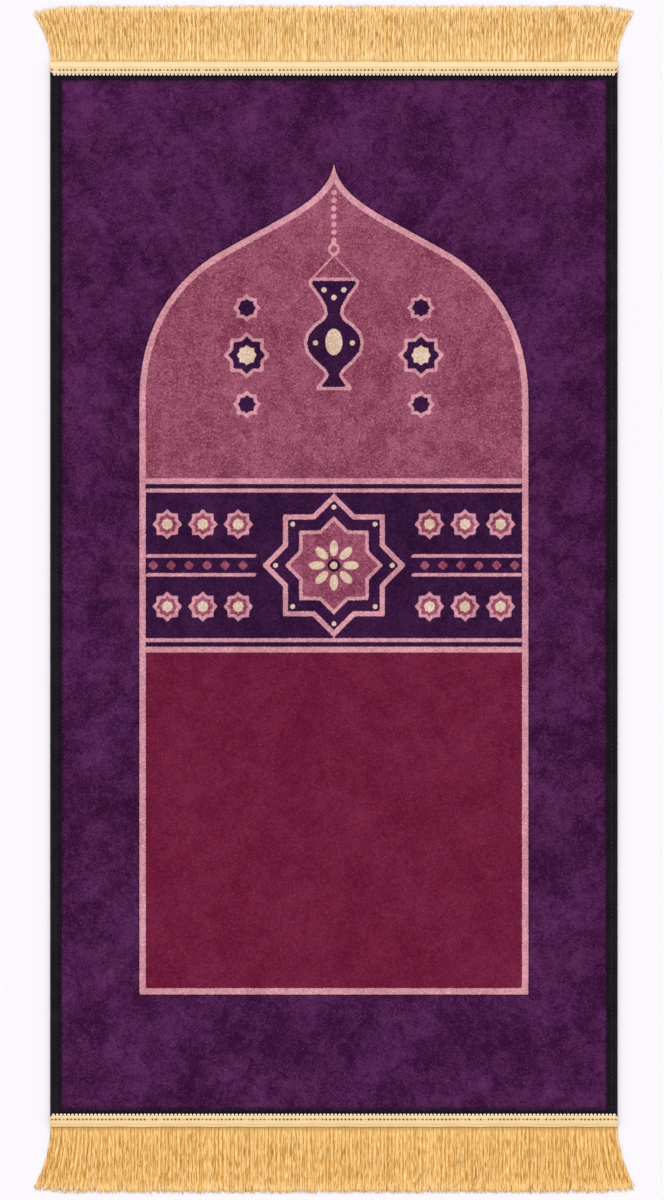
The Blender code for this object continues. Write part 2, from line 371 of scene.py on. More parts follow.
def on_edge(edge, outward, along, up):
    """Places in the frame from places at one of the cloth's edges."""
    cos, sin = math.cos(edge["turn"]), math.sin(edge["turn"])
    outward, along, up = np.broadcast_arrays(outward, along, up)
    outward = outward + edge["reach"]
    x = cos * outward - sin * along
    y = sin * outward + cos * along + CLOTH_MIDDLE_Y
    return np.stack([x, y, up], axis=-1)


def ripple(x, y, length, seed, waves=14):
    """A gently uneven surface with hills about length across, about from -1 to 1."""
    chance = np.random.default_rng(seed)
    total = np.zeros(np.broadcast(x, y).shape)
    for _ in range(waves):
        angle = chance.uniform(0, math.tau)
        rate = math.tau / (length * chance.uniform(0.7, 1.6))
        shift = chance.uniform(0, math.tau)
        total += np.sin(rate * (x * math.cos(angle) + y * math.sin(angle)) + shift)
    return total * math.sqrt(2 / waves)


def bell(distance, width):
    """1 at the middle of a bell curve, and about 0.37 at its width from there."""
    return np.exp(-((distance / width) ** 2))


# ==== the design


def bezier(start, handle, other_handle, end, steps=24):
    t = np.linspace(0, 1, steps + 1)[:, None]
    a, b, c, d = (np.array(p, float) for p in (start, handle, other_handle, end))
    return a * (1 - t) ** 3 + 3 * b * t * (1 - t) ** 2 + 3 * c * t * t * (1 - t) + d * t**3


def niche_outline():
    spring = np.array([NICHE_HALF_WIDTH, NICHE_SPRING])
    shoulder = np.array(NICHE_SHOULDER)
    apex = np.array([0.0, NICHE_APEX])
    along = np.array([-math.cos(SHOULDER_SLOPE), math.sin(SHOULDER_SLOPE)])
    rising = np.array([-math.sin(APEX_SLOPE), math.cos(APEX_SLOPE)])
    at_spring, below, above, at_apex = ARCH_HANDLES
    bulge = bezier(spring, spring + [0, at_spring], shoulder - along * below, shoulder)
    hollow = bezier(shoulder, shoulder + along * above, apex - rising * at_apex, apex)
    right = np.concatenate([[[NICHE_HALF_WIDTH, NICHE_FOOT]], bulge, hollow[1:]])
    left = right[-2::-1] * [-1, 1]
    return np.concatenate([right, left])


def to_polygon(polygon, x, y):
    """The signed distance from each place to a closed polygon, less than 0 inside it."""
    nearest = np.full(x.shape, np.inf)
    inside = np.zeros(x.shape, bool)
    for (ax, ay), (bx, by) in zip(polygon, np.roll(polygon, -1, axis=0)):
        ex, ey = bx - ax, by - ay
        share = np.clip(((x - ax) * ex + (y - ay) * ey) / (ex * ex + ey * ey), 0, 1)
        nearest = np.minimum(nearest, np.hypot(x - ax - share * ex, y - ay - share * ey))
        if ey:
            inside ^= ((ay > y) != (by > y)) & (x < ex * (y - ay) / ey + ax)
    return np.where(inside, -nearest, nearest)


def any_of(*distances):
    return np.minimum.reduce(distances)


def all_of(*distances):
    return np.maximum.reduce(distances)


def star(x, y, reach):
    """Eight points, as two squares of which one is turned by an eighth."""
    across, up = np.abs(x), np.abs(y)
    upright = np.maximum(across, up)
    turned = (across + up) / math.sqrt(2)
    return np.minimum(upright, turned) - reach / math.sqrt(2)


def disc(x, y, radius):
    return np.hypot(x, y) - radius


def oval(x, y, half_width, half_height):
    return (np.hypot(x / half_width, y / half_height) - 1) * min(half_width, half_height)


def lozenge(x, y, half_width, half_height):
    edge = np.abs(x) / half_width + np.abs(y) / half_height - 1
    return edge / math.hypot(1 / half_width, 1 / half_height)


def band(distance, inset, width):
    """The strip of that width whose outer side lies that far in from an edge."""
    return np.abs(distance + inset + width / 2) - width / 2


def stars(x, y):
    """The distances to all the small stars' edges, as (frieze, field)."""
    side = np.abs(x)
    row = np.abs(y - FRIEZE_MIDDLE) - STAR_ROW
    frieze = [star(side - place, row, STAR_REACH) for place in STAR_PLACES]
    field = [star(side - FIELD_STAR_PLACE, y - height, reach) for height, reach in FIELD_STARS]
    return any_of(*frieze), any_of(*field)


def rosette(x, y):
    """A ring of petals, as the distance to their edges."""
    petals = []
    for angle in circle(ROSETTE_PETALS):
        out = x * math.cos(angle) + y * math.sin(angle) - ROSETTE_RADIUS
        across = y * math.cos(angle) - x * math.sin(angle)
        petals.append(oval(out, across, *PETAL))
    return any_of(*petals)


def pearls(x, y):
    """The dots in the medallion's points."""
    radius = MEDALLION_REACH * PEARL_PLACE
    places = [(radius * math.cos(angle), radius * math.sin(angle)) for angle in circle(8)]
    return any_of(*[disc(x - across, y - up, PEARL_RADIUS) for across, up in places])


def lamp(x, y):
    right = np.array([(half, height) for height, half in LAMP_PROFILE])
    return to_polygon(np.concatenate([right, right[::-1] * [-1, 1]]), x, y)


def chain(x, y):
    """The lamp's chain of beads, the ring under it and the hangers to its rim."""
    ring_height, ring_radius = LAMP_RING
    under_ring = ring_height - ring_radius
    ring = band(disc(x, y - ring_height, ring_radius), 0, HANGER_WIDTH)
    heights = np.arange(ring_height + ring_radius + CHAIN_BEAD, CHAIN_TOP, CHAIN_PITCH)
    drop = under_ring - LAMP_PROFILE[0][0]
    share = np.clip((under_ring - y) / drop, 0, 1)
    hanger = np.hypot(np.abs(x) - LAMP_HANGERS * share, y - (under_ring - drop * share))
    beads = [disc(x, y - height, CHAIN_BEAD) for height in heights]
    return any_of(ring, hanger - HANGER_WIDTH / 2, *beads)


def design(x, y):
    """The design's areas, each over the ones before it: its name, its colour, and the signed
    distance to its edge, less than 0 inside."""
    niche = to_polygon(niche_outline(), x, y)
    field = niche + OUTLINE_WIDTH
    from_middle = y - FRIEZE_MIDDLE
    frieze = np.abs(from_middle) - FRIEZE_HALF
    side = np.abs(x)
    frieze_star, field_star = stars(x, y)
    medallion = star(x, from_middle, MEDALLION_REACH)
    inner_star = medallion + INNER_STAR_INSET
    lamp_body = lamp(x, y)
    flame_height, flame_width, flame_rise = LAMP_FLAME
    divider = all_of(
        np.abs(np.abs(from_middle) - DIVIDER_OFFSET) - DIVIDER_WIDTH / 2,
        DIVIDER_START - side,
    )
    lozenges = [lozenge(side - place, from_middle, *LOZENGE) for place in LOZENGE_PLACES]
    lines = [band(frieze, inset, width) for inset, width in FRIEZE_LINES]
    pale = any_of(*lines, divider, frieze_star, field_star, medallion, lamp_body, chain(x, y))
    rose_start, cream_start = STAR_LAYERS
    plum_disc, cream_disc = (disc(x, from_middle, radius) for radius in BUTTON_RADII)
    rose = any_of(frieze_star + rose_start, inner_star + INNER_STAR_LAYER, *lozenges)
    plum = any_of(
        field_star + FIELD_STAR_LAYER,
        band(medallion, *PLUM_RING),
        lamp_body + LAMP_OUTLINE,
        plum_disc,
    )
    cream = any_of(
        frieze_star + cream_start,
        star(side - FIELD_STAR_PLACE, y - FIELD_STARS[1][0], CREAM_STAR_REACH),
        rosette(x, from_middle),
        cream_disc,
        pearls(x, from_middle),
        oval(x, y - flame_height, flame_width, flame_rise),
        *[disc(side - place, y - height, LAMP_BEAD) for height, place in LAMP_BEADS],
    )
    return [
        ("niche_edge", "shade", niche - OUTLINE_SHADE),
        ("niche", "pale", niche),
        ("upper_field", "rose", all_of(field, -from_middle)),
        ("lower_field", "wine", all_of(field, from_middle)),
        ("frieze", "plum", all_of(field, frieze)),
        ("pale_forms", "pale", all_of(field, pale)),
        ("rose_forms", "rose", all_of(field, rose)),
        ("plum_forms", "plum", all_of(field, plum)),
        ("cream_forms", "cream", all_of(field, cream)),
    ]


# ==== the pieces


def grid_lines(stops):
    """Places from each stop to the next, in cells that are coarse and fine by turns."""
    lines = [stops[0]]
    for start, end, cell in zip(stops, stops[1:], [COARSE_CELL, FINE_CELL] * 3):
        count = max(1, round((end - start) / cell))
        lines.extend(np.linspace(start, end, count + 1)[1:])
    return np.array(lines)


def cloth_lines(half, stops):
    """The cloth's mesh lines in one direction, in metres from its middle."""
    wall = half - PILE_INSET / MM
    border = [half - FOLD_RADIUS / MM, wall + 0.25, wall]
    rounding = [wall - 0.08, wall - 0.3, wall - 0.7, wall - 1.2, wall - 1.8, wall - 3.0]
    edge = np.array(border + rounding)
    inner = grid_lines([-edge[-1], *stops, edge[-1]])
    return np.concatenate([-edge, inner[1:-1], edge[::-1]]) * MM


def thinned(lines):
    """The numbers of the lines that the back of the cloth keeps."""
    last = len(lines) - 1
    return np.unique([0, 1, 2, *range(8, last - 8, BACK_STEP), last - 2, last - 1, last])


def from_rim(x, y):
    """How far a place is from the pile's outer edge, more than 0 inside it."""
    return np.minimum(
        CLOTH_WIDTH / 2 - PILE_INSET - np.abs(x),
        CLOTH_LENGTH / 2 - PILE_INSET - np.abs(y),
    )


def pile_height(x, y):
    """The height of the pile's surface over the floor: a flat rim, then a rounded edge."""
    inside = from_rim(x, y)
    rounded = np.clip(PILE_ROUNDING - inside, 0, PILE_ROUNDING)
    surface = PILE_TOP - PILE_ROUNDING + np.sqrt(PILE_ROUNDING**2 - rounded**2)
    relief = ripple(x, y, 46 * MM, 3) * 0.6 + ripple(x, y, 13 * MM, 4) * 0.4
    surface = surface + PILE_RELIEF * relief * np.clip(inside / (4 * MM), 0, 1)
    return np.where(inside < -0.01 * MM, RIM_TOP, surface)


def back_height(x, y):
    """The height of the cloth's back, flat on the floor inside the tapes."""
    return np.where(from_rim(x, y) < -0.01 * MM, RIM_BOTTOM, 0.0)


def cloth_side(x_lines, y_lines, height, map_place, map_width, first=0):
    """One side of the cloth: points, their numbers, faces that look up, and places on the map."""
    x, y = np.meshgrid(x_lines, y_lines)
    points = np.stack([x, y + CLOTH_MIDDLE_Y, height(x, y)], axis=-1)
    index = first + np.arange(x.size).reshape(x.shape)
    quads = np.stack([index[:-1, :-1], index[:-1, 1:], index[1:, 1:], index[1:, :-1]], axis=-1)
    map_x = x / CLOTH_WIDTH * map_width + map_place
    place = np.stack([map_x, y / CLOTH_LENGTH * 0.99 + 0.5], axis=-1)
    return points.reshape(-1, 3), index, quads.reshape(-1, 4), place.reshape(-1, 2)


def rim_faces(top, bottom, kept_x, kept_y):
    """The cloth's upright rim. Each face has two points of the back and several of the pile."""
    faces = []
    sides = [
        (top[0], bottom[0], kept_x, 1),
        (top[-1], bottom[-1], kept_x, -1),
        (top[:, 0], bottom[:, 0], kept_y, -1),
        (top[:, -1], bottom[:, -1], kept_y, 1),
    ]
    for upper, lower, kept, way in sides:
        for number, (start, end) in enumerate(zip(kept, kept[1:])):
            face = [lower[number], lower[number + 1], *upper[start : end + 1][::-1]]
            faces.append(np.array(face[::way]))
    return faces


def make_rug():
    """The pile cloth as one closed mesh, with the design for its material."""
    x_lines = cloth_lines(CLOTH_WIDTH / 2 / MM, FINE_ACROSS)
    y_lines = cloth_lines(CLOTH_LENGTH / 2 / MM, FINE_ALONG)
    side = cloth_side(x_lines, y_lines, pile_height, 0.4, 0.79)
    face_points, top, face_quads, face_place = side
    kept_x, kept_y = thinned(x_lines), thinned(y_lines)
    back_points, bottom, back_quads, back_place = cloth_side(
        x_lines[kept_x], y_lines[kept_y], back_height, 0.9, 0.18, first=len(face_points)
    )
    points = np.concatenate([face_points, back_points])
    place = np.concatenate([face_place, back_place])
    rim = rim_faces(top, bottom, kept_x, kept_y)
    faces = [face_quads, back_quads[:, [0, 3, 2, 1]], *[face[None] for face in rim]]
    corner_map = place[np.concatenate([group.ravel() for group in faces])]
    x, y = points[:, 0] / MM, (points[:, 1] - CLOTH_MIDDLE_Y) / MM
    areas = design(x, y)
    materials = [pile_material("pile", areas), backing_material()]
    rug = new_object("rug_pile", points, faces, corner_map, *materials)
    add_values(rug, **{name: distance for name, _, distance in areas})
    # The distance from the pile's rim sets its painted shade, darker towards the edge; the foot
    # end's rim is counted further in.
    at_foot = y < -CLOTH_LENGTH / 4 / MM
    add_values(rug, from_rim=from_rim(x * MM, y * MM) / MM + FOOT_RIM_SHIFT * at_foot)
    is_back = np.zeros(len(rug.data.polygons), np.int32)
    is_back[len(face_quads) :] = 1
    rug.data.polygons.foreach_set("material_index", is_back)
    return rug


def rising_tufts(edge, count, reach, seed):
    """Tufts of the pile's edge that lean out over the tape by up to reach."""
    chance = np.random.default_rng(seed)
    half = edge["length"] / 2 - PILE_INSET
    shape = (count, 1, 1)
    along = chance.uniform(-half, half, shape)
    root = -PILE_INSET - chance.uniform(*TUFT_ROOT, shape) * MM
    lean = chance.uniform(*TUFT_LEAN, shape) * reach
    drift = chance.normal(0, TUFT_DRIFT, shape) * MM
    rise = chance.uniform(*TUFT_RISE, shape) * MM
    share = np.array(TUFT_STATIONS)[:, None]
    radius = np.array(TUFT_RADII)[:, None] * MM
    turn = circle(3)
    outward = root + lean * share + radius * np.cos(turn) * TUFT_FLATNESS
    up = PILE_TOP - TUFT_SINK + (TUFT_SINK + rise) * share + radius * np.sin(turn)
    beside = along + drift * share + radius * np.cos(turn)
    return on_edge(edge, outward, beside, up)


def make_tufts():
    rings = [
        rising_tufts(EDGES[side], count, reach, 50 + number)
        for number, (side, count, reach, _) in enumerate(EDGE_TUFTS)
    ]
    tufts = tubes("pile_edge_tufts", np.concatenate(rings), pile_material("pile_edge", []))
    # How far in from the rim each tuft is counted, for the painted rim shade.
    depths = [np.full(ring.shape[:3], depth) for ring, (*_, depth) in zip(rings, EDGE_TUFTS)]
    add_values(tufts, from_rim=np.concatenate(depths))
    return tufts


def fold_section():
    """The folded tape's section as outward and up places, round its outside and back inside."""
    angles = np.linspace(math.pi / 2, -math.pi / 2, 11)
    inner = FOLD_RADIUS - TAPE_THICKNESS
    arc = np.stack([np.cos(angles), np.sin(angles)], axis=-1)
    centre = [-FOLD_RADIUS, FOLD_RADIUS]
    parts = [
        [[-TAPE_WIDTH, TAPE_TOP - 0.25 * MM]],
        [[place * MM, TAPE_TOP] for place in TAPE_LINES],
        arc * FOLD_RADIUS + centre,
        [[-TAPE_WIDTH, 0.0], [-TAPE_WIDTH, TAPE_THICKNESS]],
        arc[::-1] * inner + centre,
        [[-TAPE_WIDTH, TAPE_TOP - TAPE_THICKNESS]],
    ]
    return np.concatenate(parts)


def make_tape(name, edge, length, seed):
    """A folded tape along one edge, drawn in a little at each stitch."""
    count = round(length / TAPE_STATION)
    along = np.linspace(-length / 2, length / 2, count + 1)[None, :, None]
    outward, up = (places + 0 * along for places in fold_section().T)
    on_top = up > TAPE_TOP / 2
    inwards = np.clip(-outward / TAPE_WIDTH, 0, 1)
    near_stitch = bell(outward - STITCH_LINE, STITCH_DIMPLE)
    pull = 0.5 + 0.5 * np.cos(math.tau * along / STITCH_PITCH)
    up = up - on_top * near_stitch * STITCH_SINK * (0.45 + 0.55 * pull)
    waver = ripple(along, 0 * along, 70 * MM, seed) * TAPE_WAVER * inwards * on_top
    outward = outward + np.clip(waver, -1, GAP * 0.8)
    tape = tubes(name, on_edge(edge, outward, along, up), tape_material())
    # A painted highlight along the fold, where the tape's rounded edge catches the light.
    wear = np.clip(1 - np.abs(outward - PAINTED_HIGHLIGHT_LINE) / PAINTED_HIGHLIGHT_WIDTH, 0, 1) * on_top
    add_values(tape, fold_wear=wear, station=along + 0 * outward, across=outward)
    return tape


def make_stitches(name, edge, length, seed):
    """Short stitches along the middle of a tape."""
    chance = np.random.default_rng(seed)
    count = int(length / STITCH_PITCH)
    middle = (np.arange(count)[:, None, None] + 0.5 - count / 2) * STITCH_PITCH
    share = np.linspace(-1, 1, 6)[:, None]
    turn = circle(5)
    swell = np.sqrt(np.clip(1.06 - share**2, 0, 1))
    slant = STITCH_SLANT + chance.normal(0, STITCH_SLANT_SPREAD, (count, 1, 1))
    radius = STITCH_WIDTH / 2 * swell
    along = middle + share * STITCH_LENGTH / 2
    outward = STITCH_LINE + slant * share * STITCH_LENGTH / 2 + radius * np.cos(turn)
    up = TAPE_TOP - 0.02 * MM - STITCH_SINK * share**2 + radius * np.sin(turn)
    return tubes(name, on_edge(edge, outward, along, up), stitch_material())


def heading_section(end):
    """The heading's section, upper side first: places, heights, the depths of both grooves
    from 0 to 1, and 1 on the upper side."""
    inner, outer = end["inner"], end["outer"]
    top = np.linspace(inner, outer, 25)
    slope = (HEADING_LEVEL - HEADING_FOOT) / (outer - HEADING_BEND)
    under_top = HEADING_LEVEL - np.clip(top - HEADING_BEND, 0, None) * slope
    stitch_width, stitch_depth = STITCH_GROOVE
    thin_width, thin_depth = THIN_GROOVE
    stitch_groove = bell(top - end["stitch_groove"], stitch_width)
    thin_groove = bell(top - end["thin_groove"], thin_width)
    ends = bell(top - inner, 0.55) + bell(top - outer, 0.5)
    thickness = HEADING_THICKNESS - stitch_depth * stitch_groove - thin_depth * thin_groove
    thickness -= HEADING_END * ends
    low = np.array([outer + 0.12, outer, 3.6, HEADING_BEND, -2.6, inner])
    under = HEADING_LEVEL - np.clip(low - HEADING_BEND, 0, None) * slope
    under[0] += 0.4
    upper_side = [top, under_top + thickness, stitch_groove, thin_groove, 1 + 0 * top]
    lower_side = [low, under, 0 * low, 0 * low, 0 * low]
    return np.concatenate([upper_side, lower_side], axis=1)


def make_heading(name, edge, end):
    """The braided strip that the fringe hangs from, with its stitched groove."""
    width = edge["length"]
    columns = round(width / HEADING_COLUMN) + 1
    along = np.linspace(-width / 2, width / 2, columns)[None, :, None]
    place, up, stitch_groove, thin_groove, on_top = (
        values + 0 * along for values in heading_section(end)
    )
    corner = end["corner"]
    into_corner = np.clip(corner - (width / 2 - np.abs(along)) / MM, 0, corner)
    drawn_in = corner - np.sqrt(corner**2 - into_corner**2)
    share = (end["outer"] - place) / (end["outer"] - end["inner"])
    waver = HEADING_WAVER * ripple(along, 0 * along, 30 * MM, end["seed"])
    outward = place + drawn_in * share + waver * (1 - share)
    dash = (0.5 + 0.5 * np.cos(math.pi * along / CORD_PITCH)) ** 3
    dash = dash * np.clip(0.8 + 0.4 * ripple(along, 0 * along, 9 * MM, end["seed"] + 3), 0, 1)
    twist = np.cos(math.tau * (along / CORD_PITCH + place / TWIST_PITCH))
    ridge = (1 - stitch_groove) * (1 - thin_groove) * on_top
    up = up + TWIST_HEIGHT * twist * ridge
    up = up - stitch_groove * (0.22 * dash - 0.1)
    up = up - CORNER_DIP * (into_corner / corner) ** 2 * on_top
    material = heading_material(name, end["heading"])
    heading = tubes(name, on_edge(edge, outward * MM, along, up * MM), material)
    # Painted shade in the grooves, deepest at the stitch holes along the stitched groove.
    grooves = stitch_groove * (0.22 + 2.4 * dash) + 0.33 * thin_groove
    add_values(heading, groove=grooves, station=along + 0 * outward, across=outward * MM)
    return heading


def make_picots(name, edge, end):
    """The small loops along the heading's inner edge."""
    span = edge["length"] - 2 * end["corner"] * MM * PICOT_MARGIN
    middle = ((np.arange(PICOT_COUNT)[:, None, None] + 0.5) / PICOT_COUNT - 0.5) * span
    arc = np.radians(np.linspace(-50, 230, 9))[:, None]
    turn = circle(7)
    reach = PICOT_RADIUS + PICOT_THICKNESS * np.cos(turn)
    outward = (end["inner"] - PICOT_OVERHANG) * MM - reach * np.sin(arc)
    along = middle + reach * np.cos(arc)
    up = PICOT_LEVEL + PICOT_THICKNESS * np.sin(turn) * 0.9
    return tubes(name, on_edge(edge, outward, along, up), picot_material())


def fan(along, width):
    """How far a yarn's tip leans outwards from its root, by its place along the trim."""
    into = np.clip(np.abs(along) - (width / 2 - FAN_WIDTH), 0, None) / FAN_WIDTH
    return np.sign(along) * FAN_REACH * into**2


def strand_facts(edge, end, chance):
    """What a strand's yarns share, as arrays with one number a strand."""
    width = edge["length"] - 2 * YARN_RADIUS
    count = STRAND_COUNT
    number = np.arange(count)
    place = number + chance.uniform(0.1, 0.9, count)
    root = (place / count - 0.5) * (width - 1 * MM)
    layer = (number * LAYER_STEP + chance.uniform(0, 0.1, count)) % 1.0
    layer[[0, 1, 2, -3, -2, -1]] = 0.8  # the outermost ones lie over the rest
    corner = np.clip(np.abs(root) / (width / 2) * 14 - 13, 0, 1)
    length = end["fringe_length"] - chance.uniform(0, 1.0, count) * MM
    in_lock = root / edge["length"] * LOCK_COUNT + chance.normal(0, 0.05, count)
    lock = np.floor(in_lock).astype(int)
    phase = chance.uniform(0, math.tau, LOCK_COUNT + 2)[lock]
    return {
        "root": root,
        "layer": layer,
        "low": np.clip(1.6 - 4 * layer, 0, 1),  # 1 for the lowest, which are the wide ones
        "lean": fan(root, width) + chance.normal(0, 0.5, count) * (0.3 + layer) * MM,
        "length": length - end["corner_cut"] * corner,
        "wave_length": chance.uniform(12, 20, count) * MM,
        "wave_height": chance.uniform(0.3, 0.75, count) * (0.25 + 0.75 * layer) * MM,
        "phase": phase + chance.normal(0, 0.5, count),
        "off_middle": 2 * (in_lock - lock) - 1,
        "tone": number * TONE_STEP,
    }


def yarn_paths(edge, end):
    """The yarns' centrelines, as outward, along and up, and what their strands share."""
    chance = np.random.default_rng(end["seed"])
    strands = strand_facts(edge, end, chance)
    count = STRAND_COUNT * YARNS_IN_STRAND
    own = {
        key: np.repeat(values, YARNS_IN_STRAND)[:, None] for key, values in strands.items()
    }
    share = np.linspace(0, 1, YARN_STATIONS)
    share = share * (1.35 - 0.35 * share)
    twin = np.arange(count)[:, None] % YARNS_IN_STRAND
    spot = twin / (YARNS_IN_STRAND - 1) - 0.5
    low = own["low"]
    spread = spot * (0.95 - 0.25 * own["layer"] + 0.5 * share**3 + 0.8 * low) * MM
    spread = spread + chance.normal(0, 0.5, (count, 1)) * MM * share**2
    wisp = chance.uniform(size=(count, 1)) < WISP_SHARE
    length = own["length"] - UNEVENNESS * chance.uniform(size=(count, 1)) - 2 * MM * low
    length = length + wisp * chance.uniform(0.3, 1.6, (count, 1)) * MM
    run = length * share
    wave = np.sin(math.tau * run / own["wave_length"] + own["phase"] + 0.5 * spot)
    crimp = np.sin(math.tau * run / CRIMP_LENGTH + chance.uniform(0, 6.28, (count, 1)))
    half_lock = edge["length"] / LOCK_COUNT / 2
    gathered = own["off_middle"] * half_lock * LOCK_GATHER * (1 - low) * np.clip(share * 3, 0, 1)
    along = own["root"] + spread - gathered + own["lean"] * share**FAN_BEND
    along = along + wave * own["wave_height"] * np.clip(share * 5, 0, 1) + crimp * CRIMP_HEIGHT
    outward = YARN_ROOT + run
    heap = own["layer"] ** 1.2 * YARN_HEAP * (1 - 0.35 * share)
    heap = heap * (1 - 0.4 * own["off_middle"] ** 2)
    turned = math.tau * run / own["wave_length"] * 0.9
    roll = np.cos(turned + chance.uniform(0, 6.28, (count, 1)))
    lying = YARN_LEVEL + heap + YARN_ROLL * roll * (0.3 + own["layer"])
    droop = np.exp(-run / DROOP_LENGTH)
    up = np.clip(lying * (1 - droop) + ROOT_LEVEL * droop, 0.36 * MM, None)
    return outward, along, up, own


def make_yarns(name, edge, end):
    """The fringe of one end, as three-sided yarns."""
    outward, along, up, own = yarn_paths(edge, end)
    share = np.linspace(0, 1, YARN_STATIONS)
    low = own["low"]
    radius = YARN_RADIUS + (LOW_YARN_RADIUS - YARN_RADIUS) * low
    radius = radius * (1 - 0.7 * np.clip(share * 9 - 8, 0, 1) - 0.1 * share)
    turn = circle(3) + math.pi / 2
    along_ring = along[..., None] + radius[..., None] * np.cos(turn)
    flatness = YARN_FLATNESS * (1 - 0.45 * low)
    up_ring = up[..., None] + (radius * flatness)[..., None] * np.sin(turn)
    rings = on_edge(edge, outward[..., None], along_ring, np.clip(up_ring, 0.02 * MM, None))
    yarns = tubes(name, rings, yarn_material(name, end))
    sharpen(yarns, 3, [1, 2])
    jitter = np.random.default_rng(end["seed"] + 7).uniform(0, 0.25, (len(along), 1))
    twin = np.arange(len(along))[:, None] % YARNS_IN_STRAND
    single = (own["tone"] + TWIN_TONE * twin + jitter) % 1.0
    # Painted shade: the lower a yarn lies under the others, the darker its tone, and yarns at the
    # sides of a lock, where the locks part, are darker too.
    height = np.clip((up - 0.5 * MM) / (YARN_HEAP + YARN_ROLL), 0, 1)
    tone = single * 0.45 + height * 0.3 + 0.225 - 0.4 * np.abs(own["off_middle"]) ** 3
    toward_tip = share + 0 * tone
    add_values(yarns, tone=np.repeat(tone, 3), toward_tip=np.repeat(toward_tip, 3))
    return yarns


# ==== materials


class Shader:
    """A material and its nodes. Its methods add nodes and give the last one's output."""

    def __init__(self, name, roughness, specular, sheen=0.0):
        self.material = bpy.data.materials.new(name)
        self.material.use_nodes = True
        self.tree = self.material.node_tree
        self.sockets = self.tree.nodes["Principled BSDF"].inputs
        self.sockets["Roughness"].default_value = roughness
        self.sockets["Specular IOR Level"].default_value = specular
        self.sockets["Sheen Weight"].default_value = sheen
        self.place = self.node("TexCoord", output="Object")

    def node(self, kind, inputs=(), output=0, **settings):
        made = self.tree.nodes.new("ShaderNode" + kind)
        for key, value in settings.items():
            setattr(made, key, value)
        for key, value in dict(inputs).items():
            if isinstance(value, bpy.types.NodeSocket):
                self.tree.links.new(value, made.inputs[key])
            else:
                made.inputs[key].default_value = value
        return made.outputs[output]

    def math(self, operation, a, b=0.0, c=0.0):
        return self.node("Math", {0: a, 1: b, 2: c}, operation=operation)

    def value(self, attribute):
        return self.node("Attribute", output="Fac", attribute_name=attribute)

    def noise(self, size, detail=2, roughness=0.5, distortion=0.0, where=None):
        inputs = {
            "Vector": where or self.place,
            "Scale": 1 / size,
            "Detail": detail,
            "Roughness": roughness,
            "Distortion": distortion,
        }
        return self.node("TexNoise", inputs)

    def stretched(self, angle, along):
        """Places turned by angle, in radians, and drawn out so many times along that line."""
        inputs = {"Vector": self.place, "Angle": angle}
        turned = self.node("VectorRotate", inputs, rotation_type="Z_AXIS")
        return self.node("VectorMath", {0: turned, 1: (1 / along, 1, 1)}, operation="MULTIPLY")

    def ramp(self, value, start, end, low=0.0, high=1.0):
        """value from start to end as a smooth rise from low to high."""
        inputs = {"Value": value, 1: start, 2: end, 3: low, 4: high}
        return self.node("MapRange", inputs, interpolation_type="SMOOTHSTEP")

    def mix(self, share, a, b, blend_type="MIX"):
        inputs = {0: share, 6: a, 7: b}
        return self.node("Mix", inputs, output=2, data_type="RGBA", blend_type=blend_type)

    def toned(self, tone, tones, light=LIGHT_LEVEL):
        """A colour from the darkest of two tones, at 0, to the lightest, at 1."""
        return self.mix(tone, *[linear(colour, light) for colour in tones])

    def blend(self, share, a, b):
        """The number a, b or something between them."""
        return self.node("Mix", {0: share, 2: a, 3: b}, data_type="FLOAT")

    def brushed(self, size, along, swirl):
        """Short strokes that lie in three directions, in patches about swirl across."""
        strokes = [
            self.noise(size, detail=1, where=self.stretched(angle, along))
            for angle in STROKE_ANGLES
        ]
        blend = strokes[0]
        for number, stroke in enumerate(strokes[1:]):
            patch = self.noise(swirl * (1 + 0.3 * number), distortion=0.6)
            blend = self.blend(self.ramp(patch, 0.42, 0.58), blend, stroke)
        return blend

    def ribs(self, across_rate, along_rate):
        """Slanting ribs from 0 to 1, on a piece that has the values across and station."""
        along = self.math("MULTIPLY", self.value("station"), along_rate)
        turn = self.math("MULTIPLY_ADD", self.value("across"), across_rate, along)
        return self.math("MULTIPLY_ADD", self.math("SINE", turn), 0.5, 0.5)

    def sum_of(self, *parts):
        """0.5, and for each part its gain times how far it is from 0.5."""
        total = 0.5
        for gain, part in parts:
            total = self.math("MULTIPLY_ADD", self.math("SUBTRACT", part, 0.5), gain, total)
        return total

    def finish(self, colour, height, depth, roughness=None):
        """Links them to the surface, height as relief of that depth. Gives the material."""
        bump = self.node("Bump", {"Height": height, "Distance": depth, "Strength": 1.0})
        self.tree.links.new(colour, self.sockets["Base Color"])
        self.tree.links.new(bump, self.sockets["Normal"])
        if roughness is not None:
            self.tree.links.new(roughness, self.sockets["Roughness"])
        return self.material


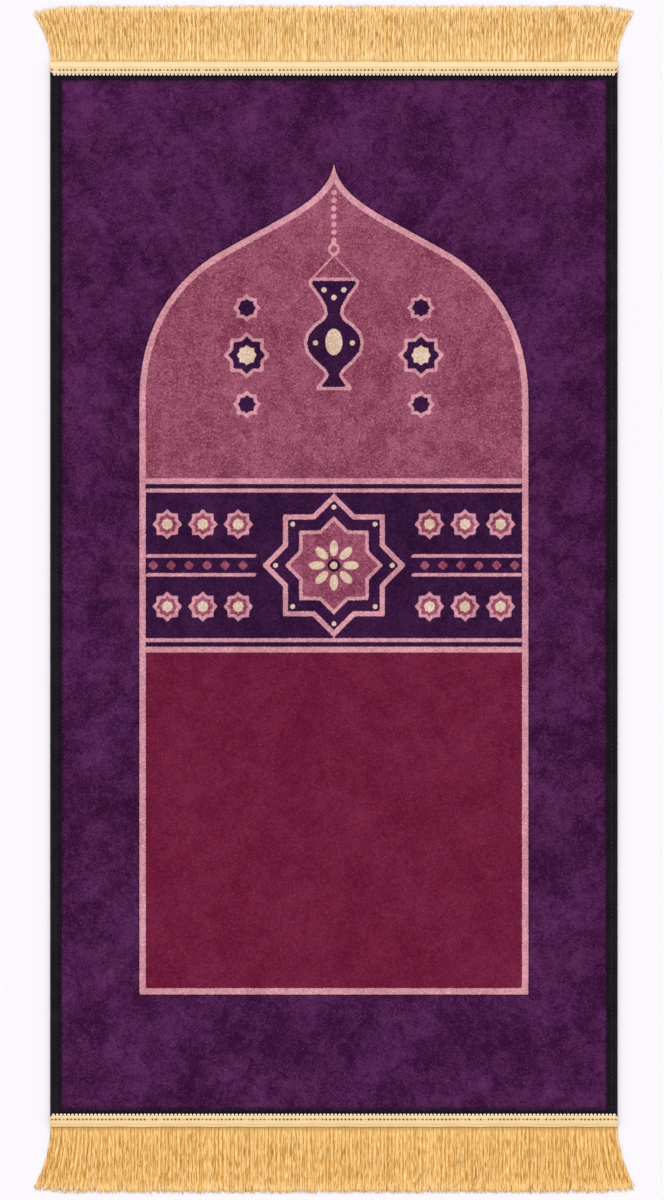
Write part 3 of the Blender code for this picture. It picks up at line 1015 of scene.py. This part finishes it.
def pile_material(name, areas):
    """Brushed pile: cloudy patches, short swirling flecks and grain over the design's areas, with
    painted shade at its rim and painted light towards the head end.
    """
    s = Shader(name, 0.9, specular=0.05, sheen=0.08)
    clouds = s.noise(62 * MM, detail=3, roughness=0.62)
    patches = s.noise(15 * MM, roughness=0.6, distortion=0.8)
    flecks = s.noise(4.2 * MM, roughness=0.6, distortion=2.2)
    strokes = s.brushed(1.7 * MM, 1.8, 9 * MM)
    grain = s.noise(1.1 * MM, detail=1, roughness=0.6)
    wisps = s.ramp(strokes, 0.5, 0.82, -0.12, 0.7)
    calm = s.ramp(s.value("niche"), 0.35, -0.35, 1.0, 0.6) if areas else 1.0
    cloudy = s.math("SUBTRACT", s.sum_of((1.45, clouds), (1.25, patches)), 0.5)
    tone = s.math("ADD", s.sum_of((1.45, flecks), (1.25, grain)), wisps)
    tone = s.math("MULTIPLY_ADD", cloudy, calm, s.math("SUBTRACT", tone, 0.1))
    # Painted light: the pile is paler towards the head end, the side the light comes from.
    toward_head = s.node("SeparateXYZ", {0: s.place}, output=1)
    head_painted_light = s.ramp(toward_head, 0.34, 0.46, 0.0, 0.08)
    tone = s.math("ADD", tone, head_painted_light)
    jitter = s.math("MULTIPLY", s.math("SUBTRACT", grain, 0.5), 1.6)
    dark, light = (linear(tone_colour) for tone_colour in PILE_COLOURS["purple"])
    tint_share = TINT_SHARES["purple"]
    for area, colour, _ in areas:
        edge = s.math("ADD", s.value(area), jitter)
        inside = s.ramp(edge, 0.35, -0.35)
        dark = s.mix(inside, dark, linear(PILE_COLOURS[colour][0]))
        light = s.mix(inside, light, linear(PILE_COLOURS[colour][1]))
        tint_share = s.blend(inside, tint_share, TINT_SHARES.get(colour, OTHER_TINT_SHARE))
    warmth = s.ramp(s.sum_of((1.0, s.noise(95 * MM)), (1.4, s.noise(17 * MM))), 0.3, 0.75)
    warmth = s.math("MULTIPLY_ADD", s.math("SUBTRACT", warmth, 0.5), tint_share, 0.5)
    tint = s.mix(warmth, COOL_TINT, WARM_TINT)
    colour = s.mix(1.0, s.mix(tone, dark, light), tint, "MULTIPLY")
    # Painted shade: the pile darkens towards its rim, where it rounds down to the tape.
    from_edge = s.math("MULTIPLY_ADD", jitter, 1.5, s.value("from_rim"))
    rim_painted_shade = s.ramp(from_edge, 5.0, -1.5, 0.0, 0.46)
    colour = s.mix(rim_painted_shade, colour, (0.0, 0.0, 0.0, 1.0))
    height = s.sum_of((0.9, strokes), (0.4, grain), (0.5, patches))
    roughness = s.ramp(tone, 0.2, 0.8, 0.96, 0.82)
    return s.finish(colour, height, 0.6 * MM, roughness)


def backing_material():
    """The plain weave of the cloth's back."""
    s = Shader("backing", 0.9, specular=0.2)
    threads = []
    for scale, direction in ((260.0, "X"), (230.0, "Y")):
        inputs = {"Vector": s.place, "Scale": scale, "Distortion": 0.6}
        threads.append(s.node("TexWave", inputs, output=1, bands_direction=direction))
    weave = s.math("MULTIPLY", *threads)
    tone = s.sum_of((0.8, weave), (1.2, s.noise(40 * MM)))
    return s.finish(s.toned(tone, BACKING), weave, 0.3 * MM)


@functools.cache
def tape_material():
    """Woven black tape with a fine slanting rib, paler in a painted highlight along its fold."""
    s = Shader("tape", 0.78, specular=0.12, sheen=0.02)
    rib = s.ribs(*TAPE_RIBS)
    lint = s.noise(1.3 * MM, detail=3, roughness=0.7)
    patches = s.noise(16 * MM)
    tone = s.sum_of((0.5, rib), (1.3, lint), (0.9, patches))
    # the painted highlight along the fold
    tone = s.math("MULTIPLY_ADD", s.value("fold_wear"), 0.55, s.math("SUBTRACT", tone, 0.12))
    height = s.sum_of((0.8, rib), (0.8, lint))
    roughness = s.ramp(tone, 0.1, 0.9, 0.86, 0.7)
    return s.finish(s.toned(tone, TAPE_BLACK), height, 0.25 * MM, roughness)


@functools.cache
def stitch_material():
    """Grey thread, uneven along its row."""
    s = Shader("stitch_thread", 0.6, specular=0.4)
    plies = s.noise(0.5 * MM, detail=1)
    shade = s.noise(9 * MM)
    tone = s.sum_of((0.8, plies), (1.8, shade))
    return s.finish(s.toned(tone, STITCH_GREY), plies, 0.15 * MM)


def heading_material(name, tones):
    """Braided yarn: slanting cords on the ridges, with painted shade in the grooves."""
    s = Shader(name, 0.55, specular=0.4, sheen=0.2)
    cords = s.ribs(*HEADING_CORDS)
    fibres = s.noise(0.8 * MM, roughness=0.6)
    patches = s.noise(24 * MM)
    tone = s.sum_of((0.5, cords), (0.7, fibres), (0.9, patches))
    # painted shade in the grooves
    tone = s.math("SUBTRACT", s.ramp(tone, -0.1, 1.0, 0.83, 1.02), s.value("groove"))
    height = s.sum_of((0.8, cords), (0.5, fibres))
    return s.finish(s.toned(tone, tones, TRIM_LIGHT), height, 0.22 * MM)


@functools.cache
def picot_material():
    """The pale yarn of the small loops, lightened as a painted highlight."""
    s = Shader("picot_yarn", 0.5, specular=0.4, sheen=0.2)
    fibres = s.noise(0.6 * MM)
    patches = s.noise(12 * MM)
    tone = s.sum_of((0.8, fibres), (1.8, patches))
    return s.finish(s.toned(tone, PICOT_CREAM_AND_HIGHLIGHT, TRIM_LIGHT), fibres, 0.15 * MM)


def yarn_material(name, end):
    """Lustrous yarns, each with its own tone, with fine fibres, dark slits of painted shadow and
    pale tips of painted light.
    """
    s = Shader(name, 0.5, specular=0.25, sheen=0.05)
    fibres = s.noise(0.9 * MM, detail=1, where=s.stretched(math.pi / 2, 8.0))
    slits = s.noise(1.05 * MM, detail=0, distortion=0.2, where=s.stretched(math.pi / 2, 12.0))
    patches = s.noise(34 * MM)
    toward_tip = s.value("toward_tip")
    tone = s.sum_of((1.7, s.value("tone")), (1.4, fibres), (0.1, patches))
    # Painted light on the tips: each yarn gets paler towards its end.
    tip_start, painted_tip_light = end["painted_tip_light"]
    tone = s.math("ADD", tone, s.ramp(toward_tip, tip_start, 0.97, 0.0, painted_tip_light))
    tone = s.math("ADD", tone, s.ramp(toward_tip, 0.5, 0.0, 0.0, end["root_glow"]))
    # The heading's painted shadow on the yarns near it.
    root = s.ramp(toward_tip, 0.1, 0.035, 0.0, end["root_shade"])
    # Painted shadow in dark slits between the yarns, weaker near the heading.
    off_root = s.ramp(toward_tip, 0.0, 0.4, 0.65, 1.0)
    slit_shadow = s.math("MULTIPLY", s.ramp(slits, 0.42, 0.31, 0.0, 0.7), off_root)
    between = s.math("MAXIMUM", slit_shadow, root)
    lustre = s.toned(tone, end["lustre"], YARN_LIGHT)
    colour = s.mix(between, lustre, linear(YARN_SLIT_SHADOW, YARN_LIGHT))
    roughness = s.ramp(tone, 0.0, 1.0, 0.6, 0.42)
    return s.finish(colour, fibres, 0.15 * MM, roughness)


# ==== the stage


def add_floor():
    corners = np.array([(0, 0), (1, 0), (1, 1), (0, 1)])
    points = np.column_stack([(2 * corners - 1) * FLOOR_HALF, np.zeros(4)])
    s = Shader("floor", 0.9, specular=0.1)
    haze = s.noise(0.8, detail=1)
    material = s.finish(s.mix(haze, *FLOOR_TONES), haze, 0.1 * MM)
    floor = new_object("floor", points, [np.array([[0, 1, 2, 3]])], corners, material)
    floor.location.z = FLOOR_LEVEL


def add_lights():
    world = bpy.data.worlds.new("studio")
    bpy.context.scene.world = world
    world.use_nodes = True
    background = world.node_tree.nodes["Background"]
    background.inputs["Color"].default_value = (1.0, 1.0, 1.0, 1.0)
    background.inputs["Strength"].default_value = SKY_STRENGTH
    sun = bpy.data.lights.new("soft_light", "SUN")
    sun.energy = SUN_STRENGTH
    sun.angle = SUN_SPREAD
    add_object("soft_light", sun).rotation_euler = SUN_TURN


def add_camera():
    data = bpy.data.cameras.new("camera")
    data.lens = CAMERA_LENS
    data.sensor_width = CAMERA_SENSOR
    camera = add_object("camera", data)
    camera.location = CAMERA_PLACE
    bpy.context.scene.camera = camera
    bpy.context.scene.view_settings.view_transform = "Standard"


def dress(piece, slot, *nodes):
    """Puts a piece on the one body and hides the CAD nodes it stands for. slot, its finish, is not
    used.
    """
    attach(piece, "root")
    if nodes:
        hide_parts(*nodes)
    return piece


def main():
    rug = dress(make_rug(), "pile_cloth", "rug_cloth")
    trims = [dress(make_tufts(), "pile_cloth")]
    for number, (side, edge) in enumerate(EDGES.items()):
        at_side = side in ("left", "right")
        length = edge["length"] if at_side else edge["length"] - 2 * PILE_INSET
        tape = make_tape(f"tape_{side}", edge, length, 70 + number)
        trims.append(dress(tape, "binding_tape", f"binding_{side}"))
        if at_side:
            stitches = make_stitches(f"stitches_{side}", edge, length - 12 * MM, 80 + number)
            trims.append(dress(stitches, "binding_tape"))
    for side, end in ENDS.items():
        edge = EDGES[side]
        heading = make_heading(f"heading_{side}", edge, end)
        yarns = make_yarns(f"yarns_{side}", edge, end)
        picots = make_picots(f"picots_{side}", edge, end)
        trims += [dress(piece, "fringe_yarn", f"fringe_{side}") for piece in (heading, yarns)]
        trims.append(dress(picots, "fringe_yarn"))


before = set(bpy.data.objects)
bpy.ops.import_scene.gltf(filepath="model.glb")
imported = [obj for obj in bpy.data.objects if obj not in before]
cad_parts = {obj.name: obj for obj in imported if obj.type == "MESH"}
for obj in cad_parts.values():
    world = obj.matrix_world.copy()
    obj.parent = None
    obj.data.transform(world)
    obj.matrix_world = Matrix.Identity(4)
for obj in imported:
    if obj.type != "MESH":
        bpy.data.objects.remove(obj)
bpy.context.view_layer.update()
add_camera()
add_floor()
add_lights()
main()
